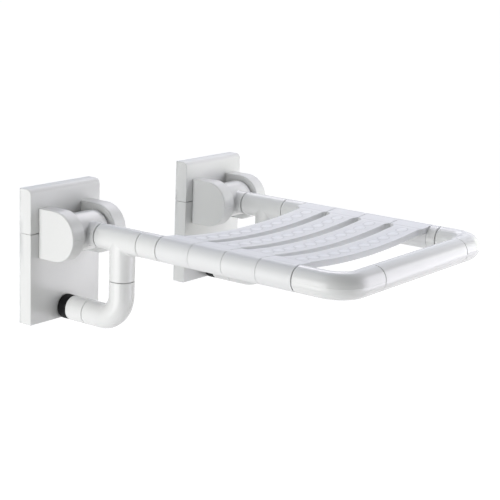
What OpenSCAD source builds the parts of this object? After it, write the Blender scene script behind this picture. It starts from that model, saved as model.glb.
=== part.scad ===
// Fold-up shower seat: two wall brackets, a steel U frame in nylon sleeves and four slats.
// Origin: on the wall plane, half way between the brackets, at the middle of their height.
// +Z is up, the wall is the plane y = 0 and the seat reaches out along -Y.

/* [Overall] */
// Wall to the front of the front bar
projection = 500; // [450:5:560]
// Distance between the centrelines of the two arms
arm_spacing = 330; // [310:5:360]

/* [Tube] */
// Outside diameter of the nylon sleeves
sleeve_od = 35; // [33:0.5:37]
// Outside diameter of the steel core tube
core_od = 25; // [22:0.5:26]
// Wall of the steel core tube
core_wall = 2; // [1.5:0.25:3]
// Centreline radius of the two front corners
corner_r = 30; // [28:1:40]

/* [Wall bracket] */
// Width of the bracket cover
cover_w = 136; // [130:1:150]
// Height of the bracket cover
cover_h = 190; // [180:1:210]
// How far the cover stands off the wall
cover_t = 21; // [19:0.5:23]
// Wall of the moulded covers
cover_wall = 2.5; // [2:0.25:3]
// Radius along the upper front edge of the cover
cover_fillet = 8; // [5:0.5:12]
// Top of the cover down to the hinge axis
hinge_drop = 62; // [55:1:68]
// Thickness of the steel wall plate
plate_t = 6; // [5:0.5:8]

/* [Hinge] */
// Wall to the hinge axis
hinge_y = 50.5; // [50:0.5:54]
// Radius of the round front of the ears
ear_r = 35; // [33:0.5:37]
// Arm centreline to the inner face of an ear
ear_in = 30; // [28:0.5:32]
// Thickness of an ear
ear_w = 23; // [22:0.5:25]
// Thickness of the flat cap on the outside of an ear
ear_cap_t = 3; // [2:0.5:4]
// Thickness of a steel lug
lug_t = 8; // [6:0.5:9]
// Radius of the steel lug round the pin
lug_r = 24; // [20:1:26]
// Diameter of the hinge pin
pin_d = 12; // [10:0.5:12]
// Radius of the moulded knuckle
knuckle_r = 27; // [25:0.5:27.5]
// Half the length of the knuckle
knuckle_half = 27; // [25:0.5:27.5]
// Outside diameter of the steel hinge tube in the knuckle
hinge_tube_od = 30; // [28:0.5:32]
// Outside diameter of the hinge bushes
bush_od = 20; // [18:0.5:22]
// Radius of the bush flanges and thrust washers
flange_r = 13; // [12:0.5:14]

/* [Legs] */
// Wall to the centreline of the legs
leg_y = 126.5; // [120:0.5:135]
// Arm centreline down to the foot centreline
leg_drop = 112; // [100:1:120]
// Centreline radius of the leg bend
leg_bend_r = 35; // [30:1:38]
// Length of the rubber bumper
bumper_len = 15.3; // [12:0.1:18]

/* [Sleeve joints] */
// Wall to the end of the knuckle neck
neck_end = 89; // [86:0.5:95]
// Half the length of the tee sleeve
tee_half = 38; // [34:0.5:42]
// Arm centreline down to the end of the tee branch
tee_branch = 56.5; // [50:0.5:62]
// Length of the spacer sleeve between the tee and the first slat
spacer_len = 34.5; // [30:0.5:40]
// Wall to the seam between the leg elbow and the foot sleeve
foot_seam = 68; // [62:0.5:75]
// Front bar centreline back to the left elbow's seams
left_elbow_leg = 66; // [60:0.5:70]
// Front bar centreline back to the right elbow's seams
right_elbow_leg = 53; // [50:0.5:58]

/* [Slats] */
// Gap between the decks of two slats, with full-round ends
slat_gap = 14; // [10:0.5:16]
// Front edge of the deck back from the front end of its sleeves
deck_inset = 5; // [3:0.5:7]
// Width of the flat wing from the arm centreline inward
wing_w = 27; // [24:0.5:32]
// Height of the deck's ends above the arm centreline
crease_z = 15.3; // [14:0.1:16.5]
// Drop of the deck at mid span
deck_sag = 8; // [4:0.5:10]
// Thickness of the deck under its rims
deck_t = 4; // [3:0.25:5]
// Depth of the skirts below the top of the rims
skirt_h = 8.5; // [7:0.5:12]
// Thickness of the skirts and ribs
skirt_t = 2.5; // [2:0.25:3.5]
// Width of the raised rims
rim_w = 5.5; // [4:0.5:7]
// Depth of the channel between the rims
channel_depth = 1.5; // [1:0.1:2]
// Number of raised pads on a slat
pad_count = 11; // [7:2:11]
// Distance between pads
pad_pitch = 24.5; // [22:0.5:24.5]
// Length of a pad
pad_len = 18; // [14:0.5:20]
// Width of a pad
pad_w = 9; // [7:0.5:11]
// Height of a pad above the channel
pad_h = 1.2; // [0.8:0.1:1.5]
// Number of cross ribs under a slat
rib_count = 6; // [4:1:8]

/* [Wall fixing] */
// Diameter of the screw holes
screw_d = 8.5; // [6.5:0.5:10]
// Distance between the two columns of holes
screw_dx = 96; // [88:1:104]
// Distance between the upper and the lower row of holes
screw_dz = 140; // [130:1:150]

/* [Clearances] */
// Gap between a sleeve and its core tube, all round
core_gap = 0.15; // [0.1:0.05:0.3]
// Gap between neighbouring sleeves at a seam
seam_gap = 0.6; // [0.4:0.1:1]
// Wider gap in front of the last slat, at the front elbows
elbow_gap = 1.5; // [1:0.1:2]
// Gap between a moulded cover and what it fits over
cover_gap = 0.3; // [0.2:0.05:0.5]
// Running gap of the pin in the lugs, washers and bushes, all round
pin_gap = 0.08; // [0.05:0.01:0.1]
// End gap between hinge pieces side by side
end_gap = 0.3; // [0.2:0.05:0.4]
// Gap between the bumper and the cover when the seat is down
rest_gap = 0.3; // [0.3:0.05:0.5]

/* [Hidden] */
$fn = 64;
left = -1;
right = 1;
eps = 0.5;
nylon = "whitesmoke";
steel = "silver";
rubber = "#202020";
sleeve_r = sleeve_od / 2;
core_r = core_od / 2;
bore_r = core_r + core_gap;
arm_z = cover_h / 2 - hinge_drop;
bar_y = projection - sleeve_r;
arm_x = arm_spacing / 2;
ear_out = ear_in + ear_w;
pin_r = pin_d / 2;
bush_r = bush_od / 2;
flange_t = 1.5;
bush_len = 18;
lug_inset = 3.5;
spigot_len = 4;
washer_play = 1;
knuckle_core_half = knuckle_half - end_gap;
lug_in = ear_in + cover_wall + lug_inset;
lug_out = lug_in + lug_t;
pin_head_t = 4;
pin_head_r = 10;
nut_t = 5;
slat_count = 4;
slat_end = bar_y - left_elbow_leg - elbow_gap;
slat_start = leg_y + tee_half + spacer_len;
slat_pitch = (slat_end - slat_start) / slat_count;
deck_w = slat_pitch - slat_gap;
deck_corner = slat_gap / 2;
foot_end = cover_t + rest_gap + bumper_len;
bumper_socket = bumper_len / 2;
plate_w = cover_w - 2 * (cover_wall + cover_gap);
plate_h = cover_h - 2 * (cover_wall + cover_gap);
deck_half = arm_x - wing_w;
deck_arc_r = (deck_half * deck_half + deck_sag * deck_sag) / (2 * deck_sag);
deck_arc_z = crease_z - deck_sag + deck_arc_r;
channel_half = deck_half - rim_w;
pad_root = 0.4;
pad_slope = 0.7 * pad_h;
deck_far = slat_pitch - deck_inset;
deck_near = deck_far - deck_w;

// Rods along each axis; the y rods run between two distances from the wall
module x_rod(x0, x1, r) {
    translate([x0, 0, 0]) rotate([0, 90, 0]) cylinder(h = x1 - x0, r = r);
}
module y_rod(near, far, r) {
    translate([0, -far, 0]) rotate([-90, 0, 0]) cylinder(h = far - near, r = r);
}
module z_rod(z0, z1, r) {
    translate([0, 0, z0]) cylinder(h = z1 - z0, r = r);
}
// A box between two opposite corners
module block(a, b) {
    translate(a) cube(b - a);
}
// Moves a piece drawn about the arm centreline to the left or right arm
module on_arm(side) {
    translate([side * arm_x, 0, arm_z]) children();
}
// Moves a piece drawn about the hinge axis to the left or right hinge
module on_hinge(side) {
    translate([side * arm_x, -hinge_y, arm_z]) children();
}
// Turns a quarter bend drawn about z so that it runs from the leg round to the foot
module leg_bend(r) {
    translate([0, -(leg_y - leg_bend_r), -(leg_drop - leg_bend_r)])
        rotate([90, 0, 90])
            rotate([0, 0, 180])
                rotate_extrude(angle = 90) translate([leg_bend_r, 0]) circle(r = r);
}
// The quarter bend of a front corner, drawn in the arm's own frame
module corner_bend(side, r) {
    translate([-side * corner_r, -(bar_y - corner_r), 0])
        rotate([0, 0, side == left ? 180 : 270])
            rotate_extrude(angle = 90) translate([corner_r, 0]) circle(r = r);
}
// The solid of radius r along one arm's leg, from the arm round to the foot's end
module leg_path(r, foot_near) {
    translate([0, -leg_y, 0]) z_rod(-(leg_drop - leg_bend_r), 0, r);
    leg_bend(r);
    translate([0, 0, -leg_drop]) y_rod(foot_near, leg_y - leg_bend_r, r);
}

// Wall plate with its two lugs, drawn about the hinge's own arm
module lug(x0) {
    difference() {
        translate([x0, 0, 0]) union() {
            x_rod(0, lug_t, lug_r);
            block([0, 0, -lug_r], [lug_t, hinge_y - plate_t + eps, lug_r]);
        }
        x_rod(x0 - eps, x0 + lug_t + eps, pin_r + pin_gap);
    }
}
module wall_plate(side) {
    color(steel) {
        translate([side * arm_x, 0, 0]) difference() {
            block([-plate_w / 2, -plate_t, -plate_h / 2], [plate_w / 2, 0, plate_h / 2]);
            for (x = [-1, 1], z = [-1, 1])
                translate([x * screw_dx / 2, 0, z * screw_dz / 2])
                    y_rod(-eps, plate_t + eps, screw_d / 2);
        }
        on_hinge(side) {
            lug(lug_in);
            lug(-lug_out);
        }
    }
}

// The D outline of an ear in side view, from the wall side to the round front
module ear_outline(r, back) {
    circle(r = r);
    translate([0, -r]) square([back, 2 * r]);
}
// An ear solid between two distances from the arm centreline, on one side of the arm
module ear_solid(x0, x1, r, back) {
    translate([x0, 0, 0])
        rotate([90, 0, 90]) linear_extrude(height = x1 - x0) ear_outline(r, back);
}
// The cover's box, rounded along its upper front edge, between the wall and a front face
module cover_box(half_w, top, bottom, front, fillet) {
    block([-half_w, -front + fillet, bottom], [half_w, 0, top]);
    block([-half_w, -front, bottom], [half_w, -front + fillet + eps, top - fillet]);
    translate([0, -front + fillet, top - fillet]) x_rod(-half_w, half_w, fillet);
}
module cover_shell() {
    top = hinge_drop;
    bottom = hinge_drop - cover_h;
    inner_r = ear_r - cover_wall;
    difference() {
        union() {
            cover_box(cover_w / 2, top, bottom, cover_t, cover_fillet);
            translate([0, -hinge_y, 0]) for (s = [0, 1]) mirror([s, 0, 0])
                ear_solid(ear_in, ear_out - ear_cap_t - cover_gap, ear_r, hinge_y - cover_t + eps);
        }
        translate([0, eps, 0])
            cover_box(cover_w / 2 - cover_wall, top - cover_wall, bottom + cover_wall,
                cover_t - cover_wall + eps, cover_fillet - cover_wall);
        translate([0, -hinge_y, 0]) for (s = [0, 1]) mirror([s, 0, 0]) {
            ear_solid(ear_in + cover_wall, ear_out, inner_r, hinge_y - cover_t + cover_wall + eps);
            x_rod(ear_in - eps, ear_in + cover_wall + eps, flange_r + washer_play);
        }
    }
}
module upper_cover(side) {
    color(nylon) on_arm(side) intersection() {
        cover_shell();
        block([-cover_w, -hinge_y - 2 * ear_r, cover_gap / 2], [cover_w, eps, hinge_drop + eps]);
    }
}
module lower_cover(side) {
    color(nylon) on_arm(side) intersection() {
        cover_shell();
        block([-cover_w, -hinge_y - 2 * ear_r, -cover_h], [cover_w, eps, -cover_gap / 2]);
    }
}
// Flat D-shaped caps with a hollow spigot that fits inside the ear
module ear_caps(side) {
    spigot_r = ear_r - cover_wall - cover_gap;
    cap_in = ear_out - ear_cap_t;
    back = hinge_y - cover_t - cover_gap;
    color(nylon) on_hinge(side) for (s = [0, 1]) mirror([s, 0, 0]) {
        ear_solid(cap_in, ear_out, ear_r, back);
        difference() {
            ear_solid(cap_in - spigot_len, cap_in, spigot_r, back);
            ear_solid(cap_in - spigot_len - eps, cap_in, spigot_r - cover_wall, back - cover_wall);
        }
    }
}

// Hinge pin with a round head at its outer end, nut at the inner end
module hinge_pin(side) {
    color(steel) on_hinge(side) mirror([side == left ? 1 : 0, 0, 0]) {
        x_rod(-lug_out - end_gap - nut_t, lug_out + end_gap, pin_r);
        x_rod(lug_out + end_gap, lug_out + end_gap + pin_head_t, pin_head_r);
    }
}
module hinge_nut(side) {
    color(steel) on_hinge(side) mirror([side == left ? 1 : 0, 0, 0])
        translate([-lug_out - end_gap - nut_t, 0, 0]) difference() {
            rotate([0, 90, 0]) cylinder(h = nut_t, r = pin_head_r, $fn = 6);
            x_rod(-eps, nut_t + eps, pin_r + pin_gap);
        }
}
// Steel washers between the bush flanges and the lugs
module thrust_washers(side) {
    color(steel) on_hinge(side) for (s = [0, 1]) mirror([s, 0, 0])
        difference() {
            x_rod(knuckle_half + flange_t + end_gap, lug_in - end_gap, flange_r);
            x_rod(0, lug_out, pin_r + pin_gap);
        }
}
// Flanged plastic bushes pressed into the hinge tube from both ends
module hinge_bushes(side) {
    color("ivory") on_hinge(side) for (s = [0, 1]) mirror([s, 0, 0])
        difference() {
            union() {
                x_rod(knuckle_half - bush_len, knuckle_half + flange_t, bush_r);
                x_rod(knuckle_half, knuckle_half + flange_t, flange_r);
            }
            x_rod(0, lug_out, pin_r + pin_gap);
        }
}

// One bent U tube with its legs and the hinge tubes welded on
module frame_half(side, r, end) {
    on_arm(side) {
        y_rod(hinge_y, bar_y - corner_r, r);
        corner_bend(side, r);
        leg_path(r, foot_end - end);
    }
}
module frame_path(r, end) {
    frame_half(left, r, end);
    frame_half(right, r, end);
    translate([0, -bar_y, arm_z]) x_rod(-arm_x + corner_r, arm_x - corner_r, r);
}
module steel_frame() {
    color(steel) difference() {
        union() {
            frame_path(core_r, bumper_socket);
            for (side = [left, right])
                on_hinge(side) x_rod(-knuckle_core_half, knuckle_core_half, hinge_tube_od / 2);
        }
        frame_path(core_r - core_wall, bumper_socket + eps);
        for (side = [left, right])
            on_hinge(side) x_rod(-knuckle_half - eps, knuckle_half + eps, bush_r + core_gap);
    }
}

// Moulded knuckle over the hinge tube, with the neck that runs out to the first sleeve
module knuckle(side) {
    color(nylon) on_arm(side) difference() {
        union() {
            translate([0, -hinge_y, 0]) x_rod(-knuckle_core_half, knuckle_core_half, knuckle_r);
            y_rod(hinge_y, neck_end - seam_gap, sleeve_r);
        }
        translate([0, -hinge_y, 0])
            x_rod(-knuckle_half - eps, knuckle_half + eps, hinge_tube_od / 2 + core_gap);
        y_rod(hinge_y, neck_end + eps, bore_r);
    }
}
// A plain length of sleeve along the arm
module arm_sleeve(near, far) {
    difference() {
        y_rod(near, far, sleeve_r);
        y_rod(near - eps, far + eps, bore_r);
    }
}
module tee_sleeve(side) {
    color(nylon) on_arm(side) difference() {
        union() {
            y_rod(neck_end, leg_y + tee_half - seam_gap, sleeve_r);
            translate([0, -leg_y, 0]) z_rod(-tee_branch + seam_gap, 0, sleeve_r);
        }
        y_rod(neck_end - eps, leg_y + tee_half + eps, bore_r);
        translate([0, -leg_y, 0]) z_rod(-tee_branch - eps, 0, bore_r);
    }
}
module spacer_sleeve(side) {
    color(nylon) on_arm(side) arm_sleeve(leg_y + tee_half, slat_start - seam_gap);
}
module right_spacer_ring() {
    color(nylon) on_arm(right) arm_sleeve(slat_end, bar_y - right_elbow_leg - elbow_gap);
}
module corner_elbow(side, leg) {
    color(nylon) on_arm(side) difference() {
        union() {
            corner_bend(side, sleeve_r);
            y_rod(bar_y - leg, bar_y - corner_r, sleeve_r);
            translate([0, -bar_y, 0]) if (side == left) x_rod(corner_r, leg, sleeve_r);
            else x_rod(-leg, -corner_r, sleeve_r);
        }
        corner_bend(side, bore_r);
        y_rod(bar_y - leg - eps, bar_y - corner_r, bore_r);
        translate([0, -bar_y, 0]) if (side == left) x_rod(corner_r, leg + eps, bore_r);
        else x_rod(-leg - eps, -corner_r, bore_r);
    }
}
module front_sleeve() {
    x0 = -arm_x + left_elbow_leg + seam_gap;
    x1 = arm_x - right_elbow_leg - seam_gap;
    color(nylon) translate([0, -bar_y, arm_z]) difference() {
        x_rod(x0, x1, sleeve_r);
        x_rod(x0 - eps, x1 + eps, bore_r);
    }
}
module leg_elbow(side) {
    color(nylon) on_arm(side) difference() {
        union() {
            translate([0, -leg_y, 0]) z_rod(-(leg_drop - leg_bend_r), -tee_branch, sleeve_r);
            leg_bend(sleeve_r);
            translate([0, 0, -leg_drop]) y_rod(foot_seam, leg_y - leg_bend_r, sleeve_r);
        }
        translate([0, -leg_y, 0]) z_rod(-(leg_drop - leg_bend_r), -tee_branch + eps, bore_r);
        leg_bend(bore_r);
        translate([0, 0, -leg_drop]) y_rod(foot_seam - eps, leg_y - leg_bend_r, bore_r);
    }
}
module foot_sleeve(side) {
    color(nylon) on_arm(side) translate([0, 0, -leg_drop])
        arm_sleeve(foot_end + seam_gap / 2, foot_seam - seam_gap);
}
// Rubber bumper that the seat rests on, pushed over the end of the foot
module bumper(side) {
    color(rubber) on_arm(side) translate([0, 0, -leg_drop]) difference() {
        y_rod(foot_end - bumper_len, foot_end, sleeve_r);
        y_rod(foot_end - bumper_socket - core_gap, foot_end + eps, bore_r);
    }
}

// Part of the deck's curved band: from t0 to t1 below the top of the rims, out to half from the middle
module deck_band(t0, t1, half) {
    intersection() {
        translate([0, deck_arc_z]) difference() {
            circle(r = deck_arc_r + t1, $fn = 720);
            circle(r = deck_arc_r + t0, $fn = 720);
        }
        translate([-half, -deck_half]) square([2 * half, 2 * deck_half]);
    }
}
// Extrudes a front-view outline between two distances in front of the slat's rear end
module along_arm(near, far) {
    translate([0, -near, 0]) rotate([90, 0, 0]) linear_extrude(height = far - near) children();
}
// Sleeve round the arm with the flat wing that runs inward to the deck
module wing_outline() {
    wing_under = crease_z - skirt_h;
    difference() {
        union() {
            translate([arm_x, 0]) circle(r = sleeve_r);
            polygon([[arm_x, sleeve_r], [deck_half, crease_z], [deck_half, wing_under],
                [arm_x - sleeve_r, wing_under - 2], [arm_x, 0]]);
        }
        translate([arm_x, 0]) circle(r = bore_r);
    }
}
// One raised oval pad with sloping sides, standing on z = 0 with its root below
module pad() {
    end_x = (pad_len - pad_w) / 2;
    foot = pad_w / 2;
    top = foot - pad_slope;
    for (s = [-1, 1])
        translate([s * end_x, 0, -pad_root]) cylinder(h = pad_h + pad_root, r1 = foot, r2 = top);
    translate([-end_x, 0, 0]) rotate([90, 0, 90]) linear_extrude(height = 2 * end_x)
        polygon([[-foot, -pad_root], [foot, -pad_root], [top, pad_h], [-top, pad_h]]);
}
// Inner end of a wing, with round corners where it meets the deck's front and rear edges
module wing_root(far) {
    difference() {
        along_arm(0, far) intersection() {
            deck_band(0, skirt_h, deck_half + eps);
            translate([deck_half - deck_corner, -deck_half]) square([2 * deck_corner, 2 * deck_half]);
        }
        for (y = [deck_near - deck_corner, deck_far + deck_corner])
            translate([deck_half - deck_corner, -y, 0])
                z_rod(-deck_half, deck_half, deck_corner);
    }
}
module slat(index) {
    far = slat_pitch - seam_gap;
    mid = (deck_near + deck_far) / 2;
    color(nylon) translate([0, -(slat_start + (index - 1) * slat_pitch), arm_z]) {
        for (s = [0, 1]) mirror([s, 0, 0]) {
            along_arm(0, far) wing_outline();
            wing_root(far);
        }
        difference() {
            along_arm(deck_near, deck_far) deck_band(0, deck_t, deck_half + eps);
            along_arm(deck_near + rim_w, deck_far - rim_w) deck_band(-1, channel_depth, channel_half);
        }
        along_arm(deck_near, deck_near + skirt_t) deck_band(deck_t - eps, skirt_h, deck_half + eps);
        along_arm(deck_far - skirt_t, deck_far) deck_band(deck_t - eps, skirt_h, deck_half + eps);
        for (i = [0 : rib_count - 1]) {
            x = (i - (rib_count - 1) / 2) * 2 * deck_half / (rib_count + 1);
            along_arm(deck_near + eps, deck_far - eps) intersection() {
                deck_band(deck_t - eps, skirt_h - 1, deck_half);
                translate([x - skirt_t / 2, -deck_half]) square([skirt_t, 2 * deck_half]);
            }
        }
        for (i = [0 : pad_count - 1]) {
            x = (i - (pad_count - 1) / 2) * pad_pitch;
            tilt = asin(x / deck_arc_r);
            translate([0, -mid, deck_arc_z]) rotate([0, -tilt, 0])
                translate([0, 0, -deck_arc_r - channel_depth]) pad();
        }
    }
}

wall_plate(left);  // left_wall_plate
wall_plate(right);  // right_wall_plate
upper_cover(left);  // left_upper_cover
upper_cover(right);  // right_upper_cover
lower_cover(left);  // left_lower_cover
lower_cover(right);  // right_lower_cover
ear_caps(left);  // left_ear_caps
ear_caps(right);  // right_ear_caps
hinge_pin(left);  // left_hinge_pin
hinge_pin(right);  // right_hinge_pin
hinge_nut(left);  // left_hinge_nut
hinge_nut(right);  // right_hinge_nut
thrust_washers(left);  // left_thrust_washers
thrust_washers(right);  // right_thrust_washers
hinge_bushes(left);  // left_hinge_bushes
hinge_bushes(right);  // right_hinge_bushes
steel_frame();
knuckle(left);  // left_knuckle
knuckle(right);  // right_knuckle
tee_sleeve(left);  // left_tee_sleeve
tee_sleeve(right);  // right_tee_sleeve
spacer_sleeve(left);  // left_spacer_sleeve
spacer_sleeve(right);  // right_spacer_sleeve
slat(1);  // slat_1
slat(2);  // slat_2
slat(3);  // slat_3
slat(4);  // slat_4
corner_elbow(left, left_elbow_leg);  // left_corner_elbow
corner_elbow(right, right_elbow_leg);  // right_corner_elbow
right_spacer_ring();
front_sleeve();
leg_elbow(left);  // left_leg_elbow
leg_elbow(right);  // right_leg_elbow
foot_sleeve(left);  // left_foot_sleeve
foot_sleeve(right);  // right_foot_sleeve
bumper(left);  // left_bumper
bumper(right);  // right_bumper
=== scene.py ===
"""Fold-up shower seat: nylon sleeves and curved slats on a bent steel frame, hinged on two brackets."""

import math

import bmesh
import bpy
import numpy as np
from mathutils import Matrix, Vector


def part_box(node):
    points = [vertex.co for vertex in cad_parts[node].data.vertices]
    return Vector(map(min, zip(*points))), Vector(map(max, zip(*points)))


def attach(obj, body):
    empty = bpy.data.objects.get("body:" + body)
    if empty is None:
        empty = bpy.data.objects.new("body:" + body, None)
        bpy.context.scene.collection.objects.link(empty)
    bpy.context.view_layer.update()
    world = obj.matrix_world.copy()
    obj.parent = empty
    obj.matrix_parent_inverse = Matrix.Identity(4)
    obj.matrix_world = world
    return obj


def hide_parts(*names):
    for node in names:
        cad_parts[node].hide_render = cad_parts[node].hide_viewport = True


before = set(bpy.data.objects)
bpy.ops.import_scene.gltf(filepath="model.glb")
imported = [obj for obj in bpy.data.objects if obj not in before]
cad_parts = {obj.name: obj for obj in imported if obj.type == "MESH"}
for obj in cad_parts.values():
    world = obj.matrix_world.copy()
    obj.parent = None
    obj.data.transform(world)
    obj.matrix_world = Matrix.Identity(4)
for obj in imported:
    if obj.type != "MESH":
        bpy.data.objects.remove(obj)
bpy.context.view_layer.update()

# Camera: a long lens a little above the seat, off its front left corner, as the photograph was taken.
# Its place was fitted to the photograph's edges and seams.
camera_place = Vector((-1.50384, -1.32284, 0.44702))
camera_aim = Vector((-0.01317, -0.22815, 0.01166))
camera_roll = math.radians(2.257)
camera_lens = 98.147

camera = bpy.data.objects.new("camera", bpy.data.cameras.new("camera"))
bpy.context.scene.collection.objects.link(camera)
camera_back = (camera_place - camera_aim).normalized()
camera_level = Vector((0, 0, 1)).cross(camera_back).normalized()
camera_up = camera_back.cross(camera_level)
camera_right = camera_level * math.cos(camera_roll) + camera_up * math.sin(camera_roll)
camera_top = camera_up * math.cos(camera_roll) - camera_level * math.sin(camera_roll)
camera.matrix_world = Matrix.Translation(camera_place) @ Matrix(
    (camera_right, camera_top, camera_back)
).transposed().to_4x4()
camera.data.lens = camera_lens
camera.data.clip_end = 100
bpy.context.scene.camera = camera
bpy.context.scene.view_settings.view_transform = "Standard"

# Studio: a large soft box on the left and one at the front right, smaller ones that fill in from below,
# behind and above, and a dim world in wide soft lobes, all fitted to the photograph's greys. Reflections
# show a white sweep, darker at the upper front left. The camera sees plain white and a low pale floor.
def toward(azimuth, elevation):
    """The unit vector at an azimuth, counted from -Y towards +X, and an elevation, both in degrees."""
    a, e = math.radians(azimuth), math.radians(elevation)
    return Vector((math.sin(a) * math.cos(e), -math.cos(a) * math.cos(e), math.sin(e)))


world = bpy.data.worlds.new("studio")
bpy.context.scene.world = world
world.use_nodes = True
nodes, links = world.node_tree.nodes, world.node_tree.links
nodes.clear()
where = nodes.new("ShaderNodeTexCoord")


def lobe(direction, start, end, low, high):
    """A smooth step from low to high as the cosine of the angle to a direction goes from start to end."""
    cosine = nodes.new("ShaderNodeVectorMath")
    cosine.operation = "DOT_PRODUCT"
    cosine.inputs[1].default_value = direction
    step = nodes.new("ShaderNodeMapRange")
    step.interpolation_type = "SMOOTHSTEP"
    for name, value in (("From Min", start), ("From Max", end), ("To Min", low), ("To Max", high)):
        step.inputs[name].default_value = value
    links.new(where.outputs["Generated"], cosine.inputs[0])
    links.new(cosine.outputs["Value"], step.inputs["Value"])
    return step.outputs["Result"]


# Azimuth, elevation, the cosine at which the lobe begins, and colour.
world_lobes = (
    (270, 8, 0.6, (0.95, 0.97, 0.95)),
    (290, -38, 0.6, (0.19, 0.22, 0.23)),
    (0, -90, 0.6, (1.07, 1.04, 1.06)),
    (45, -10, 0.85, (0.67, 0.60, 0.41)),
    (150, 20, 0.6, (0.39, 0.54, 1.10)),
    (60, 25, 0.6, (0.74, 0.77, 0.77)),
)
total = None
for azimuth, elevation, start, colour in world_lobes:
    part = nodes.new("ShaderNodeVectorMath")
    part.operation = "MULTIPLY_ADD"
    part.inputs[1].default_value = colour
    links.new(lobe(toward(azimuth, elevation), start, 1.0, 0.0, 1.0), part.inputs[0])
    if total:
        links.new(total, part.inputs[2])
    total = part.outputs["Vector"]
ray = nodes.new("ShaderNodeLightPath")
mirrored = nodes.new("ShaderNodeMix")
mirrored.data_type = "RGBA"
links.new(ray.outputs["Is Glossy Ray"], mirrored.inputs["Factor"])
links.new(total, mirrored.inputs["A"])
links.new(lobe(toward(-30, 25), 0.2, 0.9, 1.0, 0.1), mirrored.inputs["B"])
seen = nodes.new("ShaderNodeMix")
seen.data_type = "RGBA"
seen.inputs["B"].default_value = (1, 1, 1, 1)
either = nodes.new("ShaderNodeMath")
either.operation = "MAXIMUM"
links.new(ray.outputs["Is Camera Ray"], either.inputs[0])
links.new(ray.outputs["Is Transmission Ray"], either.inputs[1])
links.new(either.outputs[0], seen.inputs["Factor"])
links.new(mirrored.outputs["Result"], seen.inputs["A"])
back = nodes.new("ShaderNodeBackground")
out = nodes.new("ShaderNodeOutputWorld")
links.new(seen.outputs["Result"], back.inputs["Color"])
links.new(back.outputs["Background"], out.inputs["Surface"])

# Name, place, width and height in metres, power in watts, and colour. Each box faces the seat's middle.
seat_middle = Vector((0, -0.25, 0.02))
for name, place, width, height, power, colour in (
    ("left_soft_box", (-1.15, -0.05, -0.1), 0.9, 1.1, 8.1, (1.00, 0.99, 0.99)),
    ("front_right_box", (0.8, -1.3, 0.1), 1.0, 1.5, 11.1, (0.91, 0.89, 1.00)),
    ("front_low_box", (0.3, -1.4, -0.6), 1.0, 0.5, 1.6, (0.94, 0.97, 1.00)),
    ("right_soft_box", (1.3, -0.7, 0.1), 0.8, 0.8, 1.9, (0.89, 1.00, 0.71)),
    ("rear_right_box", (0.9, 0.5, 0.95), 0.7, 0.5, 2.5, (1.00, 0.96, 1.00)),
    ("rear_soft_box", (-0.4, 1.0, 0.6), 0.8, 0.6, 3.9, (0.96, 1.00, 0.96)),
    ("far_high_box", (0.4, -0.1, 0.7), 0.4, 0.4, 1.1, (1.00, 0.96, 1.00)),
    ("front_sweep_box", (0.1, -2.2, -0.5), 1.2, 0.8, 1.6, (1.00, 0.97, 0.92)),
    ("far_side_box", (0.55, -0.3, 0.35), 0.5, 0.5, 0.3, (0.92, 0.94, 1.00)),
    ("front_upper_box", (0.35, -0.6, 0.8), 0.6, 0.6, 0.4, (0.96, 1.00, 0.98)),
):
    lamp = bpy.data.lights.new(name, "AREA")
    lamp.shape = "RECTANGLE"
    lamp.size, lamp.size_y, lamp.energy, lamp.color = width, height, power, colour
    box = bpy.data.objects.new(name, lamp)
    bpy.context.scene.collection.objects.link(box)
    box.location = place
    box.visible_camera = False
    box.rotation_euler = (box.location - seat_middle).to_track_quat("Z", "Y").to_euler()

floor_half, floor_level = 30, -0.48
floor_mesh = bpy.data.meshes.new("floor")
signs = ((-1, -1), (1, -1), (1, 1), (-1, 1))
floor_corners = [(x * floor_half, y * floor_half, floor_level) for x, y in signs]
floor_mesh.from_pydata(floor_corners, [], [(0, 1, 2, 3)])
floor = bpy.data.objects.new("floor", floor_mesh)
bpy.context.scene.collection.objects.link(floor)
pale = bpy.data.materials.new("white_floor")
pale.use_nodes = True
nodes, links = pale.node_tree.nodes, pale.node_tree.links
nodes.clear()
glow = nodes.new("ShaderNodeEmission")
glow.inputs["Strength"].default_value = 0.99
dull = nodes.new("ShaderNodeBsdfDiffuse")
dull.inputs["Color"].default_value = (0.14, 0.14, 0.14, 1)
both = nodes.new("ShaderNodeAddShader")
clear = nodes.new("ShaderNodeBsdfTransparent")
ray = nodes.new("ShaderNodeLightPath")
shown = nodes.new("ShaderNodeMixShader")
out = nodes.new("ShaderNodeOutputMaterial")
links.new(glow.outputs[0], both.inputs[0])
links.new(dull.outputs[0], both.inputs[1])
links.new(ray.outputs["Is Camera Ray"], shown.inputs["Fac"])
links.new(clear.outputs[0], shown.inputs[1])
links.new(both.outputs[0], shown.inputs[2])
links.new(shown.outputs[0], out.inputs["Surface"])
floor_mesh.materials.append(pale)


# Moulded surface: what all the plastics here share. A spark-eroded mould leaves a fine even grain, the melt
# a slow wave, and handling a few paler and duller patches. Grain and wave go to a Bump, the patches to
# colour and roughness.
MM = 0.001


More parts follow.
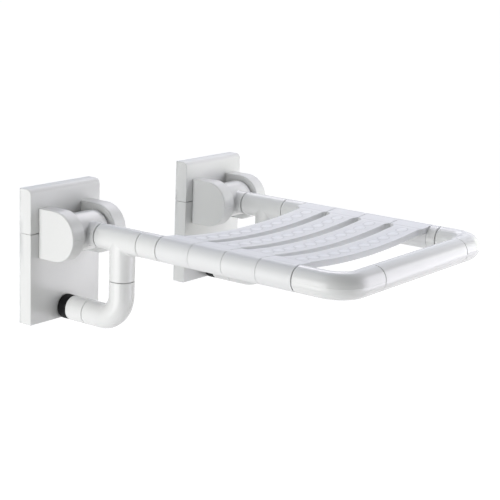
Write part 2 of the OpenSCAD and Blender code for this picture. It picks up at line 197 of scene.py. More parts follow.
def moulded_surface():
    """Node group: Height = fine grain + slow wave; Patches = 0 to 1 over hand-sized areas.

    It reads object coordinates, and its two sizes are in millimetres."""
    group = bpy.data.node_groups.new("moulded_surface", "ShaderNodeTree")
    for name, value in (("Grain Size", 0.6), ("Grain", 1.0), ("Wave", 0.5), ("Patch Size", 70.0)):
        socket = group.interface.new_socket(name, in_out="INPUT", socket_type="NodeSocketFloat")
        socket.default_value = value
    group.interface.new_socket("Height", in_out="OUTPUT", socket_type="NodeSocketFloat")
    group.interface.new_socket("Patches", in_out="OUTPUT", socket_type="NodeSocketFloat")
    nodes, links = group.nodes, group.links
    given = nodes.new("NodeGroupInput")
    made = nodes.new("NodeGroupOutput")
    where = nodes.new("ShaderNodeTexCoord")

    def per_metre(socket):
        """Turns a size in millimetres into a noise scale, 1000 divided by it."""
        scale = nodes.new("ShaderNodeMath")
        scale.operation = "DIVIDE"
        scale.inputs[0].default_value = 1000
        links.new(given.outputs[socket], scale.inputs[1])
        return scale.outputs[0]

    grain = nodes.new("ShaderNodeTexNoise")
    grain.inputs["Detail"].default_value = 2
    links.new(where.outputs["Object"], grain.inputs["Vector"])
    links.new(per_metre("Grain Size"), grain.inputs["Scale"])
    wave = nodes.new("ShaderNodeTexNoise")
    wave.inputs["Scale"].default_value = 45
    wave.inputs["Detail"].default_value = 1
    links.new(where.outputs["Object"], wave.inputs["Vector"])
    patches = nodes.new("ShaderNodeTexNoise")
    patches.inputs["Detail"].default_value = 5
    patches.inputs["Roughness"].default_value = 0.6
    links.new(where.outputs["Object"], patches.inputs["Vector"])
    links.new(per_metre("Patch Size"), patches.inputs["Scale"])
    grain_part = nodes.new("ShaderNodeMath")
    grain_part.operation = "MULTIPLY"
    links.new(grain.outputs["Fac"], grain_part.inputs[0])
    links.new(given.outputs["Grain"], grain_part.inputs[1])
    total = nodes.new("ShaderNodeMath")
    total.operation = "MULTIPLY_ADD"
    links.new(wave.outputs["Fac"], total.inputs[0])
    links.new(given.outputs["Wave"], total.inputs[1])
    links.new(grain_part.outputs[0], total.inputs[2])
    even = nodes.new("ShaderNodeMapRange")
    even.inputs["From Min"].default_value = 0.3
    even.inputs["From Max"].default_value = 0.7
    links.new(patches.outputs["Fac"], even.inputs["Value"])
    links.new(total.outputs[0], made.inputs["Height"])
    links.new(even.outputs["Result"], made.inputs["Patches"])
    return group


moulded = moulded_surface()


def plastic(name, colour, worn, rough, grain_size, bump, coat=0.0, coat_rough=0.2):
    """A moulded plastic: colour drifts to worn and roughness by drift either way, with the patches.

    The grain's size and the depth of the bump are in millimetres."""
    drift = 0.03
    material = bpy.data.materials.new(name)
    material.use_nodes = True
    nodes, links = material.node_tree.nodes, material.node_tree.links
    shader = nodes["Principled BSDF"]
    shader.inputs["Coat Weight"].default_value = coat
    shader.inputs["Coat Roughness"].default_value = coat_rough
    mould = nodes.new("ShaderNodeGroup")
    mould.node_tree = moulded
    mould.inputs["Grain Size"].default_value = grain_size
    tint = nodes.new("ShaderNodeMix")
    tint.data_type = "RGBA"
    tint.inputs["A"].default_value = (*colour, 1)
    tint.inputs["B"].default_value = (*worn, 1)
    links.new(mould.outputs["Patches"], tint.inputs["Factor"])
    links.new(tint.outputs["Result"], shader.inputs["Base Color"])
    gloss = nodes.new("ShaderNodeMapRange")
    gloss.inputs["To Min"].default_value = rough - drift
    gloss.inputs["To Max"].default_value = rough + drift
    links.new(mould.outputs["Patches"], gloss.inputs["Value"])
    links.new(gloss.outputs["Result"], shader.inputs["Roughness"])
    grained = nodes.new("ShaderNodeBump")
    grained.inputs["Strength"].default_value = 0.35
    grained.inputs["Distance"].default_value = bump * MM
    links.new(mould.outputs["Height"], grained.inputs["Height"])
    links.new(grained.outputs["Normal"], shader.inputs["Normal"])
    return material


# Straight sleeves: nylon tube extruded 35 mm round with a 5 mm wall, sawn to length, its ends broken with a
# small round, and slid along the steel tube. Spacers, front bar, feet and the ring by the right corner.
sleeve_nylon = plastic("sleeve_nylon", (0.766, 0.768, 0.764), (0.747, 0.750, 0.747), rough=0.24,
                       grain_size=0.55, bump=0.04, coat=0.25, coat_rough=0.10)
sleeve_r = 17.5
bore_r = 12.65
sawn_edge = 0.7
arm_x = 165.0
arms = (("left", -arm_x), ("right", arm_x))
arm_z = 33.0
foot_z = arm_z - 112.0
front_y = -482.5
out_from_wall = (0, -1, 0)


def surface(grid, close_rows=True, close_columns=True):
    """The points of a grid (rows, columns, 3) in mm and its squares, closed over rows and columns if asked.

    A square joins a point and the next in its row with the same two in the next row."""
    rows, columns = grid.shape[:2]
    r = np.arange(rows if close_rows else rows - 1)[:, None]
    c = np.arange(columns if close_columns else columns - 1)[None, :]
    r1, c1 = (r + 1) % rows, (c + 1) % columns
    corners = [r * columns + c, r * columns + c1, r1 * columns + c1, r1 * columns + c]
    return grid.reshape(-1, 3), np.stack(corners, axis=-1).reshape(-1, 4)


def made_piece(name, surfaces, body, material, replaced=(), painted_shading=None):
    """One mesh from surfaces that run into each other, put under its body; the CAD nodes it replaces are
    hidden.

    Points closer than touching, in metres, are merged, faces are turned outwards, and edges sharper than
    crisp stay crisp. The painted shading is light and shade painted at each point, which the material reads
    as the attribute painted_shading."""
    touching, crisp = 2e-6, math.radians(38)
    starts = np.cumsum([0] + [len(points) for points, squares in surfaces])
    all_points = np.concatenate([points for points, squares in surfaces])
    all_squares = np.concatenate([squares + start for (points, squares), start in zip(surfaces, starts)])
    mesh = bpy.data.meshes.new(name)
    mesh.from_pydata((all_points * MM).tolist(), [], all_squares.tolist())
    if painted_shading is not None:
        attribute = mesh.attributes.new("painted_shading", "FLOAT", "POINT")
        attribute.data.foreach_set("value", painted_shading.astype(np.float32))
    work = bmesh.new()
    work.from_mesh(mesh)
    bmesh.ops.remove_doubles(work, verts=work.verts, dist=touching)
    bmesh.ops.recalc_face_normals(work, faces=work.faces)
    work.to_mesh(mesh)
    work.free()
    mesh.shade_smooth()
    mesh.set_sharp_from_angle(angle=crisp)
    mesh.materials.append(material)
    piece = bpy.data.objects.new(name, mesh)
    bpy.context.scene.collection.objects.link(piece)
    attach(piece, body)
    if replaced:
        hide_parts(*replaced)
    return piece


def sleeve(name, *grids):
    """A piece of sleeve nylon on the frame, from closed grids, for the CAD node of its name."""
    surfaces = [surface(grid) for grid in grids]
    made_piece(name + "_skin", surfaces, "seat_frame", sleeve_nylon, [name])


def round_over(radius, steps=5):
    """A quarter round between an end face and a side.

    It lies radius * (1 - cos of the turn) in from the face, radius * (1 - sin of it) in from the side."""
    turn = np.linspace(0, math.pi / 2, steps + 1)
    return radius * (1 - np.cos(turn)), radius * (1 - np.sin(turn))


def tube_rows(start, end, outer, bore, edge, samples):
    """Rows of a closed tube wall: place along a path and radius, out over the outside and back in the bore.

    The first and last of the straight rows lie 0.15 mm past the rounds, which keeps the shading even."""
    along, inset = round_over(edge)
    wall = np.concatenate([[start + edge + 0.15], samples, [end - edge - 0.15]])
    distance = np.concatenate([[start], start + along, wall, end - along[::-1], [end], wall[::-1]])
    outside = np.concatenate([outer - inset, np.full(len(wall), outer), outer - inset[::-1]])
    return distance, np.concatenate([[bore], outside, np.full(len(wall) + 1, bore)])


def straight(origin, direction):
    """A straight path: point = origin + direction times the distance, with the same normal all along."""
    direction = np.array(direction, float)
    side = np.array([0, 0, 1.0]) if abs(direction[2]) < 0.5 else np.array([1.0, 0, 0])

    def path(distance):
        centre = np.array(origin, float) + distance[:, None] * direction
        return centre, np.broadcast_to(side, centre.shape), np.cross(direction, side)

    return path


def around(path, distance, radius, columns=72, parting=0.0):
    """Rings about a path: point = centre + radius * (cos of the angle * normal + sin of it * binormal).

    A parting line stands out from the outside at the angles 0 and 180 degrees. It has its height up to 0.8
    degrees to each side and ends at 1.6 degrees."""
    centre, normal, binormal = path(distance)
    angle = np.linspace(0, 2 * math.pi, columns, endpoint=False)
    if parting:
        line = np.radians([-1.6, -0.8, 0.8, 1.6])
        angle = np.sort(np.concatenate([angle, line % (2 * math.pi), math.pi + line]))
    ring = np.cos(angle)[None, :, None] * normal[:, None, :] + np.sin(angle)[None, :, None] * binormal
    on_line = np.abs(np.sin(angle)) < 0.02
    bead = parting * on_line[None, :] * (radius == radius.max())[:, None]
    return centre[:, None, :] + (radius[:, None] + bead)[:, :, None] * ring


def straight_sleeve(name, origin, direction, start_seam=0.0, end_seam=0.0):
    """A plain sleeve on a line through the origin, as long as its CAD node less the seams at its ends."""
    axis = [abs(part) for part in direction].index(1)
    start, end = sorted(round(corner[axis] * direction[axis] / MM, 2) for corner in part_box(name))
    start, end = start + start_seam, end - end_seam
    samples = np.linspace(start + 4, end - 4, 6)
    distance, radius = tube_rows(start, end, sleeve_r, bore_r, sawn_edge, samples)
    sleeve(name, around(straight(origin, direction), distance, radius))


for side, x in arms:
    straight_sleeve(f"{side}_spacer_sleeve", (x, 0, arm_z), out_from_wall, end_seam=0.6)
    straight_sleeve(f"{side}_foot_sleeve", (x, 0, foot_z), out_from_wall, end_seam=0.3)
straight_sleeve("front_sleeve", (0, front_y, arm_z), (1, 0, 0), start_seam=0.3)
straight_sleeve("right_spacer_ring", (arm_x, 0, arm_z), out_from_wall)


# Elbows: injection moulded in one piece with the same bore, threaded on before the steel tube is closed. A
# fine parting line runs along them. The left corner's legs are longer than the right one's.
def bent(origin, first, second, lead, bend):
    """A straight run, a quarter bend on a radius and a straight run on.

    The normal turns from second to -first: second * cos of the turn - first * sin of it."""
    first, second = np.array(first, float), np.array(second, float)
    arc = bend * math.pi / 2

    def path(distance):
        turn = np.clip((distance - lead) / bend, 0, math.pi / 2)[:, None]
        before = np.minimum(distance, lead)[:, None]
        after = np.maximum(distance - lead - arc, 0)[:, None]
        centre = (np.array(origin, float) + first * (before + bend * np.sin(turn))
                  + second * (bend * (1 - np.cos(turn)) + after))
        normal = second * np.cos(turn) - first * np.sin(turn)
        return centre, normal, np.cross(first, second)

    return path


def elbow(name, origin, first, second, lead, bend, tail):
    """An elbow from the start of its lead to the end of its tail, with a ring every 3 degrees of bend."""
    length = lead + bend * math.pi / 2 + tail
    samples = np.concatenate([
        np.linspace(1.5, lead - 0.5, 5),
        lead + bend * np.radians(np.linspace(0, 90, 31)),
        np.linspace(length - tail + 0.5, length - 1.5, 5),
    ])
    distance, radius = tube_rows(0, length, sleeve_r, bore_r, sawn_edge, samples)
    sleeve(name, around(bent(origin, first, second, lead, bend), distance, radius, parting=0.12))


corner_bend = 30.0
for name, x, inward, lead, tail in (
    ("left_corner_elbow", -arm_x, (1, 0, 0), 36.4, 36.0),
    ("right_corner_elbow", arm_x, (-1, 0, 0), 23.0, 23.0),
):
    elbow(name, (x, front_y + corner_bend + lead, arm_z), out_from_wall, inward, lead, corner_bend, tail)
leg_y = -126.5
leg_bend, leg_lead, leg_tail = 35.0, 20.5, 23.5
for side, x in arms:
    start = (x, leg_y, foot_z + leg_bend + leg_lead)
    elbow(f"{side}_leg_elbow", start, (0, 0, -1), (0, 1, 0), leg_lead, leg_bend, leg_tail)


# Tee sleeves: a moulded tee, split when it is fitted and glued round the welded leg. Its branch runs down
# the leg and meets the arm in a small even fillet.
def tee(name, x):
    """The arm part is a plain tube. The branch is rings about the leg whose top edge follows the arm.

    Fillet: a ball of radius f rolls in the corner, its centre r + f from both axes. So at the angle w round
    the branch it is at (r + f) * (sin w, cos w) and (r + f) * |cos w| under the arm. It touches the branch
    and the arm where its lines to the two axes leave it, and the fillet is the arc between."""
    r, f = sleeve_r, 3.0
    start, end, bottom = 89.7, 163.6, -55.6
    origin = np.array([x, leg_y, arm_z])
    w = np.linspace(0, 2 * math.pi, 96, endpoint=False)
    zero = np.zeros_like(w)
    ball = (r + f) * np.stack([np.sin(w), np.cos(w), -np.abs(np.cos(w))], axis=-1)
    ring = np.stack([np.sin(w), np.cos(w), zero], axis=-1)
    to_arm = -np.stack([np.sin(w), zero, -np.abs(np.cos(w))], axis=-1)
    along, inset = round_over(sawn_edge)
    rows = [bore_r * ring + [0, 0, bottom]]
    rows += [(r - i) * ring + [0, 0, bottom + a] for a, i in zip(along, inset)]
    contact = r * ring + ball * [0, 0, 1]
    for share in np.linspace(0.01, 1, 14):
        rows.append(contact * share + (r * ring + [0, 0, bottom + sawn_edge]) * (1 - share))
    for share in np.linspace(0, 1, 9)[1:]:
        direction = -ring * (1 - share) + to_arm * share
        direction /= np.maximum(np.linalg.norm(direction, axis=-1, keepdims=True), 1e-9)
        rows.append(ball + f * direction)
    into_arm = 0.5 / r
    rows.append(rows[-1] * [1 - into_arm, 1, 1 - into_arm])
    rows.append(bore_r * ring + ball * [0, 0, 1] * (bore_r / r))
    samples = np.linspace(93, 160, 8)
    distance, radius = tube_rows(start, end, r, bore_r, sawn_edge, samples)
    arm = around(straight((x, 0, arm_z), out_from_wall), distance, radius)
    sleeve(name, arm, np.stack(rows) + origin)


for side, x in arms:
    tee(f"{side}_tee_sleeve", x)

# Hinge knuckles: a moulded barrel over the hinge tube, between the ears of the bracket, with a neck as wide
# as the sleeves. The barrel's rims are rounded and the neck grows out of it in a fillet.
hinge_y = -50.5


def knuckle(name, x):
    """Barrel: a tube about the hinge axis. Neck: rings about the arm whose inner edge follows the barrel.

    Fillet: the ball's centre is at (r + f) * (sin w, cos w) across the arm and R + f from the hinge axis, R
    being the barrel's radius. So it stands sqrt((R + f)^2 - ((r + f) * cos w)^2) in front of that axis."""
    barrel_r, barrel_bore, barrel_half, rim = 27.0, 15.15, 26.7, 1.8
    r, f = sleeve_r, 1.6
    neck_end = -37.2
    origin = np.array([x, hinge_y, arm_z])
    w = np.linspace(0, 2 * math.pi, 96, endpoint=False)
    zero = np.zeros_like(w)
    stand = np.sqrt((barrel_r + f) ** 2 - ((r + f) * np.cos(w)) ** 2)
    ball = np.stack([(r + f) * np.sin(w), -stand, (r + f) * np.cos(w)], axis=-1)
    ring = np.stack([np.sin(w), zero, np.cos(w)], axis=-1)
    to_barrel = -np.stack([zero, -stand, (r + f) * np.cos(w)], axis=-1) / (barrel_r + f)
    along, inset = round_over(sawn_edge)
    rows = [bore_r * ring + [0, neck_end, 0]]
    rows += [(r - i) * ring + [0, neck_end + a, 0] for a, i in zip(along, inset)]
    contact = r * ring + ball * [0, 1, 0]
    for share in np.linspace(0.05, 1, 8):
        rows.append(contact * share + (r * ring + [0, neck_end + sawn_edge, 0]) * (1 - share))
    for share in np.linspace(0, 1, 9)[1:]:
        direction = -ring * (1 - share) + to_barrel * share
        direction /= np.linalg.norm(direction, axis=-1, keepdims=True)
        rows.append(ball + f * direction)
    into_barrel = 0.97
    rows.append(rows[-1] * [1, into_barrel, into_barrel])
    rows.append(bore_r * ring + [0, -20.0, 0])
    samples = np.linspace(-22, 22, 9)
    distance, radius = tube_rows(-barrel_half, barrel_half, barrel_r, barrel_bore, rim, samples)
    barrel = around(straight(origin, (1, 0, 0)), distance, radius, 120)
    sleeve(name, barrel, np.stack(rows) + origin)


for side, x in arms:
    knuckle(f"{side}_knuckle", x)

# Slats: injection moulded in one piece with a short sleeve at each end that threads on the arm. A flat wing
# runs inward from each sleeve, and the deck hangs between the wings in a shallow curve: raised rims, a sunk
# channel with a row of oval pads for grip, and a skirt and cross ribs underneath.
# Painted light and shade: a value at each point scales the colour, and over 1.13, on the pads, makes it
# matt.
slat_nylon = plastic("slat_nylon", (0.755, 0.757, 0.760), (0.737, 0.740, 0.746), rough=0.42,
                     grain_size=0.5, bump=0.04, coat=0.2, coat_rough=0.25)
nodes, links = slat_nylon.node_tree.nodes, slat_nylon.node_tree.links
painted_shading = nodes.new("ShaderNodeAttribute")
painted_shading.attribute_name = "painted_shading"
painted_colour = nodes.new("ShaderNodeVectorMath")
painted_colour.operation = "MULTIPLY"
shader = nodes["Principled BSDF"]
# The base colour times the painted light and shade.
links.new(shader.inputs["Base Color"].links[0].from_socket, painted_colour.inputs[0])
links.new(painted_shading.outputs["Fac"], painted_colour.inputs[1])
links.new(painted_colour.outputs["Vector"], shader.inputs["Base Color"])
matt = nodes.new("ShaderNodeMapRange")
for name, value in (("From Min", 1.13), ("From Max", 1.10), ("To Min", 0.55)):
    matt.inputs[name].default_value = value
links.new(painted_shading.outputs["Fac"], matt.inputs["Value"])
links.new(shader.inputs["Roughness"].links[0].from_socket, matt.inputs["To Max"])
links.new(matt.outputs["Result"], shader.inputs["Roughness"])

deck_half, deck_near, deck_far, deck_corner = 138.0, 9.0, 49.0, 7.0
deck_middle = (deck_near + deck_far) / 2
deck_sag = 8.0
slat_length = 53.65
wing_length = 53.1
wing_top = 15.3
curve_r = (deck_half ** 2 + deck_sag ** 2) / (2 * deck_sag)
crease_x = 138.7
channel_near, channel_far, channel_half, channel_wall = 13.6, 44.4, 133.2, 1.6
pad_pitch, pad_half_length, pad_half_width, pads_each_side = 24.5, 8.8, 6.8, 5
marks_end = 127


def smooth(value, low, high):
    """0 below low, 1 above high, and 3t^2 - 2t^3 between."""
    t = np.clip((value - low) / (high - low), 0, 1)
    return t * t * (3 - 2 * t)


def bell(value, width):
    """A bell curve, exp(-(value / width)^2)."""
    return np.exp(-((value / width) ** 2))


def rim_height(x):
    """Top of the rims above the arm's axis: an arc between the wings, then straight to the sleeve's top.

    A fine crease, a bell curve 0.4 mm deep, marks where the wing leaves the deck."""
    a = np.abs(x)
    arc = wing_top - deck_sag + curve_r - np.sqrt(curve_r ** 2 - np.minimum(a, deck_half) ** 2)
    wing = wing_top + (a - deck_half) * (sleeve_r - wing_top) / (arm_x - deck_half)
    return np.where(a < deck_half, arc, wing) - 0.4 * bell(a - crease_x, 0.45)


def channel(x, t):
    """1 in the channel and 0 on the rims round it, with soft walls."""
    from_rims = smooth(t - channel_near, 0, channel_wall) * smooth(channel_far - t, 0, channel_wall)
    return from_rims * smooth(channel_half - np.abs(x), 0, channel_wall)


def from_pad(x, t):
    """Distance from the nearest pad's middle, in pad halves: q = sqrt(across^2 + along^2), 1 at its edge.

    Then the mark halfway between two pads: 1 in its middle, a bell curve both ways, 0 past the last pad."""
    off = np.abs(x - np.clip(np.round(x / pad_pitch), -pads_each_side, pads_each_side) * pad_pitch)
    q = np.sqrt((off / pad_half_length) ** 2 + ((t - deck_middle) / pad_half_width) ** 2)
    between = bell(off - pad_pitch / 2, 1.8) * bell(t - deck_middle, 2.6)
    return q, between * (np.abs(x) < marks_end)


def relief(x, t):
    """The deck's top against its rims: a channel 0.5 mm deep, a button at each pad's place, marks between.

    A button rises from its oval outline as its height times 1 - q^4, to a low crown."""
    button_height, channel_depth, mark_depth = 0.9, 0.5, 0.2
    q, between = from_pad(x, t)
    button = button_height * (1 - np.minimum(q, 1) ** 4)
    return (button - channel_depth - mark_depth * between) * channel(x, t)


def deck_painted_shading(x, t):
    """Painted light and shade on top: 1.09 on the rims, 1.2 on the pads, 1.03 on the channel's ground.

    Painted shade darkens the fine line round each pad, the marks between them and the crease."""
    rim, pad, ground, outline, mark, crease = 1.09, 0.11, -0.06, 0.2, 0.14, 0.3
    q, between = from_pad(x, t)
    line = outline * smooth(q, 0.98, 1.06) * smooth(1.34 - q, 0.0, 0.2)
    inside = np.where(q < 0.98, pad, ground - np.maximum(line, mark * between))
    return rim + inside * channel(x, t) - crease * bell(np.abs(x) - crease_x, 0.7)


def slat_deck(start):
    """Rows: stations along the span. Columns: a closed loop round the section, top first, then the skirts.

    The deck widens into the wings round a quarter circle of radius r: sqrt(r^2 - (a - its start)^2). Under
    it the roof is 4 mm down, the ribs 7.5 mm and the skirts 8.5 mm, less where they pass over a sleeve."""
    skirt_wall, skirt_depth, rib_depth, roof_depth = 2.5, 8.5, 7.5, 4.0
    round_start, end_wall, sleeve_start = deck_half - deck_corner, 135.55, 150
    ribs = (np.arange(6) - 2.5) * (2 * deck_half / 7)
    rib_half = 1.25
    quarter = round_start + deck_corner * np.sin(np.radians(np.linspace(0, 90, 10)))
    crease_rows = [138.02, 138.3, crease_x, 139.1, 139.5]
    wing_rows = np.concatenate([np.linspace(141, 164, 12), [164.3]])
    half = np.concatenate([np.arange(0.45, 130.6, 0.9), quarter, crease_rows, wing_rows])
    rib_faces = np.concatenate([ribs + face for face in (-1.27, -1.23, 1.23, 1.27)])
    x = np.unique(np.round(np.concatenate([-half, half, rib_faces, [-135.6, -135.5, 135.5, 135.6]]), 4))
    a = np.abs(x)
    bend = np.sqrt(np.maximum(deck_corner ** 2 - np.clip(a - round_start, 0, deck_corner) ** 2, 0))
    on_deck = a <= 138.01
    near = np.where(on_deck, deck_near - deck_corner + bend, 0.0)
    far = np.where(on_deck, np.minimum(deck_far + deck_corner - bend, wing_length), wing_length)
    edge = 1.1 - 0.4 * smooth(a, round_start, deck_half)
    top = rim_height(x)
    over_sleeve = np.sqrt(np.maximum(15.2 ** 2 - (arm_x - a) ** 2, 0))
    skirt = np.minimum(skirt_depth, top - np.where(a > sleeve_start, over_sleeve, -20))
    from_rib = np.min(np.abs(x[:, None] - ribs[None, :]), axis=1)
    under = np.where(a > end_wall, skirt, np.where(from_rib < rib_half, rib_depth, roof_depth))

    top_columns = 74
    share = np.linspace(0, 1, top_columns)[None, :]
    t = (near + edge)[:, None] * (1 - share) + (far - edge)[:, None] * share
    columns = [(t[:, j], relief(x, t[:, j])) for j in range(top_columns)]
    turn = np.radians(np.linspace(0, 90, 6))[1:]
    columns += [(far - edge + edge * math.sin(q), -edge * (1 - math.cos(q))) for q in turn]
    lip = np.minimum(0.5, skirt / 4)
    roof_edge = -np.minimum(under, skirt - lip * 0.2)
    columns += [(far, lip - skirt), (far - lip, -skirt), (far - skirt_wall + lip, -skirt)]
    columns += [(far - skirt_wall, lip * 0.5 - skirt), (far - skirt_wall, roof_edge)]
    columns += [((near + far) / 2, -under)]
    columns += [(near + skirt_wall, roof_edge), (near + skirt_wall, lip * 0.5 - skirt)]
    columns += [(near + skirt_wall - lip, -skirt), (near + lip, -skirt), (near, lip - skirt)]
    columns += [(near + edge - edge * math.sin(q), -edge * (1 - math.cos(q))) for q in turn[::-1]]
    place, depth = (np.stack(values, axis=1) for values in zip(*columns))
    across = np.broadcast_to(x[:, None], place.shape)
    grid = np.stack([across, -(start + place), (arm_z + top)[:, None] + depth], axis=-1)
    ends = grid[[0, -1]].mean(axis=1, keepdims=True) * np.ones((1, grid.shape[1], 1))
    # Painted shade: the skirts and the underside take 0.86; the top takes its painted light and shade.
    painted_shading = np.full(grid.shape[:2], 0.86)
    painted_shading[:, :top_columns] = deck_painted_shading(x[:, None], t)
    return np.concatenate([ends[:1], grid, ends[1:]]), np.pad(painted_shading, ((1, 1), (0, 0)), constant_values=1)


def slat(name):
    """The deck with its wings and a sleeve on each arm, in one mesh that starts where the CAD node does."""
    edge = 0.5
    start = -round(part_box(name)[1].y / MM, 2)
    end = start + slat_length
    distance, radius = tube_rows(start, end, sleeve_r, bore_r, edge, np.linspace(start + 4, end - 4, 6))
    deck, painted_shading = slat_deck(start)
    surfaces = [surface(deck, close_rows=False)]
    for x in (-arm_x, arm_x):
        surfaces.append(surface(around(straight((x, 0, arm_z), out_from_wall), distance, radius)))
    count = sum(len(points) for points, squares in surfaces)
    # The sleeves carry no painted light or shade: their value is 1.
    painted_shading = np.pad(painted_shading.ravel(), (0, count - painted_shading.size), constant_values=1)
    made_piece(name + "_skin", surfaces, "seat_frame", slat_nylon, [name], painted_shading)


for number in (1, 2, 3, 4):
    slat(f"slat_{number}")

# Bumpers: black rubber plugs pushed over the open end of each foot. The seat comes down on them, so their
# rims at the wall are well rounded.
black_rubber = plastic("black_rubber", (0.004, 0.004, 0.005), (0.010, 0.010, 0.011), rough=0.62,
                       grain_size=0.8, bump=0.12)
black_rubber.node_tree.nodes["Principled BSDF"].inputs["Specular IOR Level"].default_value = 0.15


def bumper(name, x):
    """A closed cup: from the centre of its wall end out, round the rim, along, and back in its socket."""
    wall_end, foot_end, socket = 21.3, 36.6, 28.8
    rubber_r, flat_r = 17.3, 10.0
    rim = 1.8
    along, inset = round_over(rim, 7)
    far_along, far_inset = along[2::-1] * 0.2, inset[2::-1] * 0.2
    distance = np.concatenate([[wall_end, wall_end], wall_end + along, [23.5, 30, 36.2],
                               foot_end - far_along, [foot_end, socket, socket]])
    radius = np.concatenate([[0.0, flat_r], rubber_r - inset, [rubber_r] * 3,
                             rubber_r - far_inset, [bore_r, bore_r, 0.0]])
    grid = around(straight((x, 0, foot_z), out_from_wall), distance, radius)
    cup = surface(grid, close_rows=False)
    made_piece(name + "_skin", [cup], "seat_frame", black_rubber, [name])


for side, x in arms:
    bumper(f"{side}_bumper", x)

# Bracket covers: two moulded half shells that snap over the wall plate and meet level with the hinge. The
# upper one has a round upper front edge. Both carry half of each ear, open in the middle for the hinge pin.
cover_nylon = plastic("cover_nylon", (0.740, 0.742, 0.737), (0.722, 0.725, 0.720), rough=0.34,
                      grain_size=0.45, bump=0.04, coat=0.15, coat_rough=0.2)
cover_half, cover_top, cover_bottom, cover_front = 68.0, 62.0, -128.0, 21.0
upper_round, lower_round = 8.0, 1.5
cover_wall = 2.5
seam_half = 0.35
ear_r = 35.0


def side_profile(upper, inset):
    """Side outline of a half cover: from the wall along its end, round the front corner, on to the seam.

    It is drawn inset millimetres inside its full size, with the corner's radius that much less."""
    end = cover_top if upper else -cover_bottom
    corner = (upper_round if upper else lower_round) - inset
    turn = np.radians(np.linspace(0, 90, 13))
    front = cover_front - inset
    y = np.concatenate([[0, 5, front - corner - 0.3], front - corner + corner * np.sin(turn),
                        [front, front, front, front - 0.15, front - 0.5]])
    z = np.concatenate([[end - inset] * 3, end - inset - corner + corner * np.cos(turn),
                        [end - inset - corner - 0.4, 1.5, 0.5 + seam_half, seam_half + 0.15, seam_half]])
    return -y, z * (1 if upper else -1)


def cover_shell(x, upper):
    """The side outline carried across the cover.

    At each end it steps in round the edge and shrinks to the corner where the wall meets the seam, which
    makes the flat side. A station is a place across, the outline's inset and the share of its size."""
    edge = 1.2
    turn = np.radians(np.linspace(0, 90, 6))
    stations = [(-cover_half, edge, share) for share in (0, 0.5, 0.985)]
    stations += [(-cover_half + edge * (1 - math.cos(q)), edge * (1 - math.sin(q)), 1) for q in turn]
    stations += [(-cover_half + 1.6, 0, 1), (-30.0, 0, 1)]
    stations += [(-place, inset, share) for place, inset, share in stations[::-1]]
    seam = seam_half if upper else -seam_half
    rows = []
    for place, inset, share in stations:
        y, z = side_profile(upper, inset)
        z = seam + (z - seam) * share
        rows.append(np.stack([np.full(len(y), x + place), y * share, arm_z + z], axis=-1))
    return surface(np.stack(rows), close_rows=False, close_columns=False)


def half_ear(x, side, upper):
    """Half of an ear: a closed section (distance from the hinge, place along it) carried round half a D.

    The D's distance from the hinge is its radius in front, and that of the straight edges behind. Its faces
    are at inner and outer. In front, where the halves meet, each has a bevel, the lower one the wider."""
    back, hole, seam = 30.5, 14.0, 0.1
    inner, outer, edge = 30.0, 49.9, 1.3
    bevel = 0.25 if upper else 0.8
    corner = 180 - math.degrees(math.atan2(ear_r, back))
    front = np.linspace(math.degrees(bevel / ear_r), 90, 46)
    turn = np.concatenate([[0.0], front, np.linspace(90, corner, 9)[1:], np.linspace(corner, 180, 8)[1:]])
    turn = np.radians(turn)
    to_side = ear_r / np.maximum(np.sin(turn), 1e-6)
    to_back = back / np.maximum(-np.cos(turn), 1e-6)
    reach = np.where(turn <= math.pi / 2, ear_r, np.minimum(to_side, to_back))
    reach[0] -= bevel
    along, inset = round_over(edge)
    place = np.concatenate([[inner], inner + along, [31.6, 49.2, outer, outer, inner]])
    less = np.concatenate([[6.0], inset, [0.0] * 5])
    radius = reach[:, None] - less[None, :]
    radius[:, -2:] = hole
    sign = 1 if upper else -1
    y = hinge_y - radius * np.cos(turn)[:, None]
    z = arm_z + sign * (seam + radius * np.sin(turn)[:, None] * (1 - seam / ear_r))
    grid = np.stack([x + side * np.broadcast_to(place, radius.shape), y, z], axis=-1)
    ends = grid[[0, -1]].mean(axis=1, keepdims=True) * np.ones((1, grid.shape[1], 1))
    return surface(np.concatenate([ends[:1], grid, ends[1:]]), close_rows=False)


for side, x in arms:
    for half, upper in (("upper", True), ("lower", False)):
        name = f"{side}_{half}_cover"
        outside = cover_shell(x, upper)
        shell = made_piece(name + "_skin", [outside], "wall_brackets", cover_nylon, [name])
        wall = shell.modifiers.new("wall", "SOLIDIFY")
        wall.thickness = cover_wall * MM
        wall.offset = -1
        wall.use_even_offset = True
        for number, ear_side in ((1, -1), (2, 1)):
            ear = half_ear(x, ear_side, upper)
            made_piece(f"{side}_{half}_ear_{number}", [ear], "wall_brackets", cover_nylon)


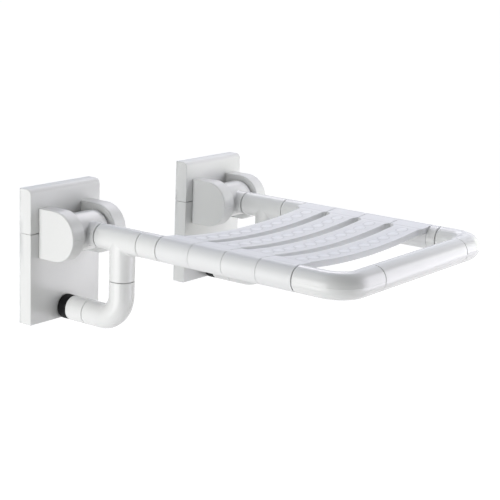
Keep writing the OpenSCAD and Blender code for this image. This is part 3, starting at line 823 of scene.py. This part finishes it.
# Ear caps: flat D-shaped lids of the covers' nylon, pressed into the outer faces of the ears over the pin
# ends, with a soft outer edge.
def ear_cap(name, x):
    """Rings of the D outline: from the lid's centre over its face, round the edge and back to the ear."""
    back, face, edge = 29.2, 53.0, 1.6
    corner = math.atan2(ear_r, back)
    turn = np.concatenate([
        np.linspace(-math.pi / 2, math.pi / 2, 73),
        np.linspace(math.pi / 2, math.pi - corner, 9)[1:],
        np.linspace(math.pi - corner, math.pi + corner, 17)[1:],
        np.linspace(math.pi + corner, 1.5 * math.pi, 9)[1:-1],
    ])
    to_side = ear_r / np.maximum(np.abs(np.sin(turn)), 1e-6)
    to_back = back / np.maximum(-np.cos(turn), 1e-6)
    reach = np.where(np.cos(turn) >= -1e-9, ear_r, np.minimum(to_side, to_back))
    along, inset = round_over(edge, 7)
    place = np.concatenate([[face] * 3, face - along, [51.2, 50.05, 50.0]])
    less = np.concatenate([[0, 0, 2.2], inset, [0, 0, 0.2]])
    share = np.concatenate([[0, 0.5, 1], np.ones(len(along) + 3)])
    radius = (reach[None, :] - less[:, None]) * share[:, None]
    y, z = hinge_y - radius * np.cos(turn), arm_z + radius * np.sin(turn)
    lids = []
    for ear_side in (-1, 1):
        grid = np.stack([x + ear_side * np.broadcast_to(place[:, None], radius.shape), y, z], axis=-1)
        centre = grid[-1:].mean(axis=1, keepdims=True) * np.ones((1, grid.shape[1], 1))
        lids.append(surface(np.concatenate([grid, centre]), close_rows=False))
    made_piece(name + "_skin", lids, "wall_brackets", cover_nylon, [name])


for side, x in arms:
    ear_cap(f"{side}_ear_caps", x)


# Steel parts: wall plates, pins, nuts and washers turned or cut from stainless bar and sheet, and the bent
# tube frame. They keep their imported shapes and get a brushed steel, drawn along tubes and across plates.
def brushed_steel(name, colour, stretch):
    """Fine scratches: noise stretched along one direction of the object, for roughness, tint and bump."""
    darkest = 0.88
    material = bpy.data.materials.new(name)
    material.use_nodes = True
    nodes, links = material.node_tree.nodes, material.node_tree.links
    shader = nodes["Principled BSDF"]
    shader.inputs["Metallic"].default_value = 1.0
    where = nodes.new("ShaderNodeTexCoord")
    drawn = nodes.new("ShaderNodeMapping")
    drawn.inputs["Scale"].default_value = stretch
    scratches = nodes.new("ShaderNodeTexNoise")
    scratches.inputs["Scale"].default_value = 60
    scratches.inputs["Detail"].default_value = 6
    links.new(where.outputs["Object"], drawn.inputs["Vector"])
    links.new(drawn.outputs["Vector"], scratches.inputs["Vector"])
    tint = nodes.new("ShaderNodeMix")
    tint.data_type = "RGBA"
    tint.inputs["A"].default_value = (*[c * darkest for c in colour], 1)
    tint.inputs["B"].default_value = (*colour, 1)
    links.new(scratches.outputs["Fac"], tint.inputs["Factor"])
    links.new(tint.outputs["Result"], shader.inputs["Base Color"])
    gloss = nodes.new("ShaderNodeMapRange")
    gloss.inputs["To Min"].default_value = 0.22
    gloss.inputs["To Max"].default_value = 0.48
    links.new(scratches.outputs["Fac"], gloss.inputs["Value"])
    links.new(gloss.outputs["Result"], shader.inputs["Roughness"])
    scratched = nodes.new("ShaderNodeBump")
    scratched.inputs["Strength"].default_value = 0.3
    scratched.inputs["Distance"].default_value = 0.04 * MM
    links.new(scratches.outputs["Fac"], scratched.inputs["Height"])
    links.new(scratched.outputs["Normal"], shader.inputs["Normal"])
    return material


def dress(node, material):
    """Gives a CAD node, which keeps its shape, its own material."""
    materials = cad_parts[node].data.materials
    materials.clear()
    materials.append(material)


plate_steel = brushed_steel("plate_steel", (0.60, 0.60, 0.61), (1, 10, 14))
turned_steel = brushed_steel("turned_steel", (0.62, 0.62, 0.63), (14, 2, 2))
# Painted shade: the frame tube's steel is darker than the other steel, to deepen the shaded seams between
# the sleeves, where it shows.
seam_shade_tube_steel = brushed_steel("seam_shade_tube_steel", (0.40, 0.40, 0.41), (6, 1, 6))
dress("steel_frame", seam_shade_tube_steel)
for side in ("left", "right"):
    dress(f"{side}_wall_plate", plate_steel)
    for part in ("hinge_pin", "hinge_nut", "thrust_washers"):
        dress(f"{side}_{part}", turned_steel)

# Hinge bushes: natural bearing plastic, turned with a flange and pressed into both ends of the hinge tube.
bearing_plastic = plastic("bearing_plastic", (0.80, 0.77, 0.68), (0.74, 0.70, 0.60), rough=0.5,
                          grain_size=0.5, bump=0.04)
for side in ("left", "right"):
    dress(f"{side}_hinge_bushes", bearing_plastic)
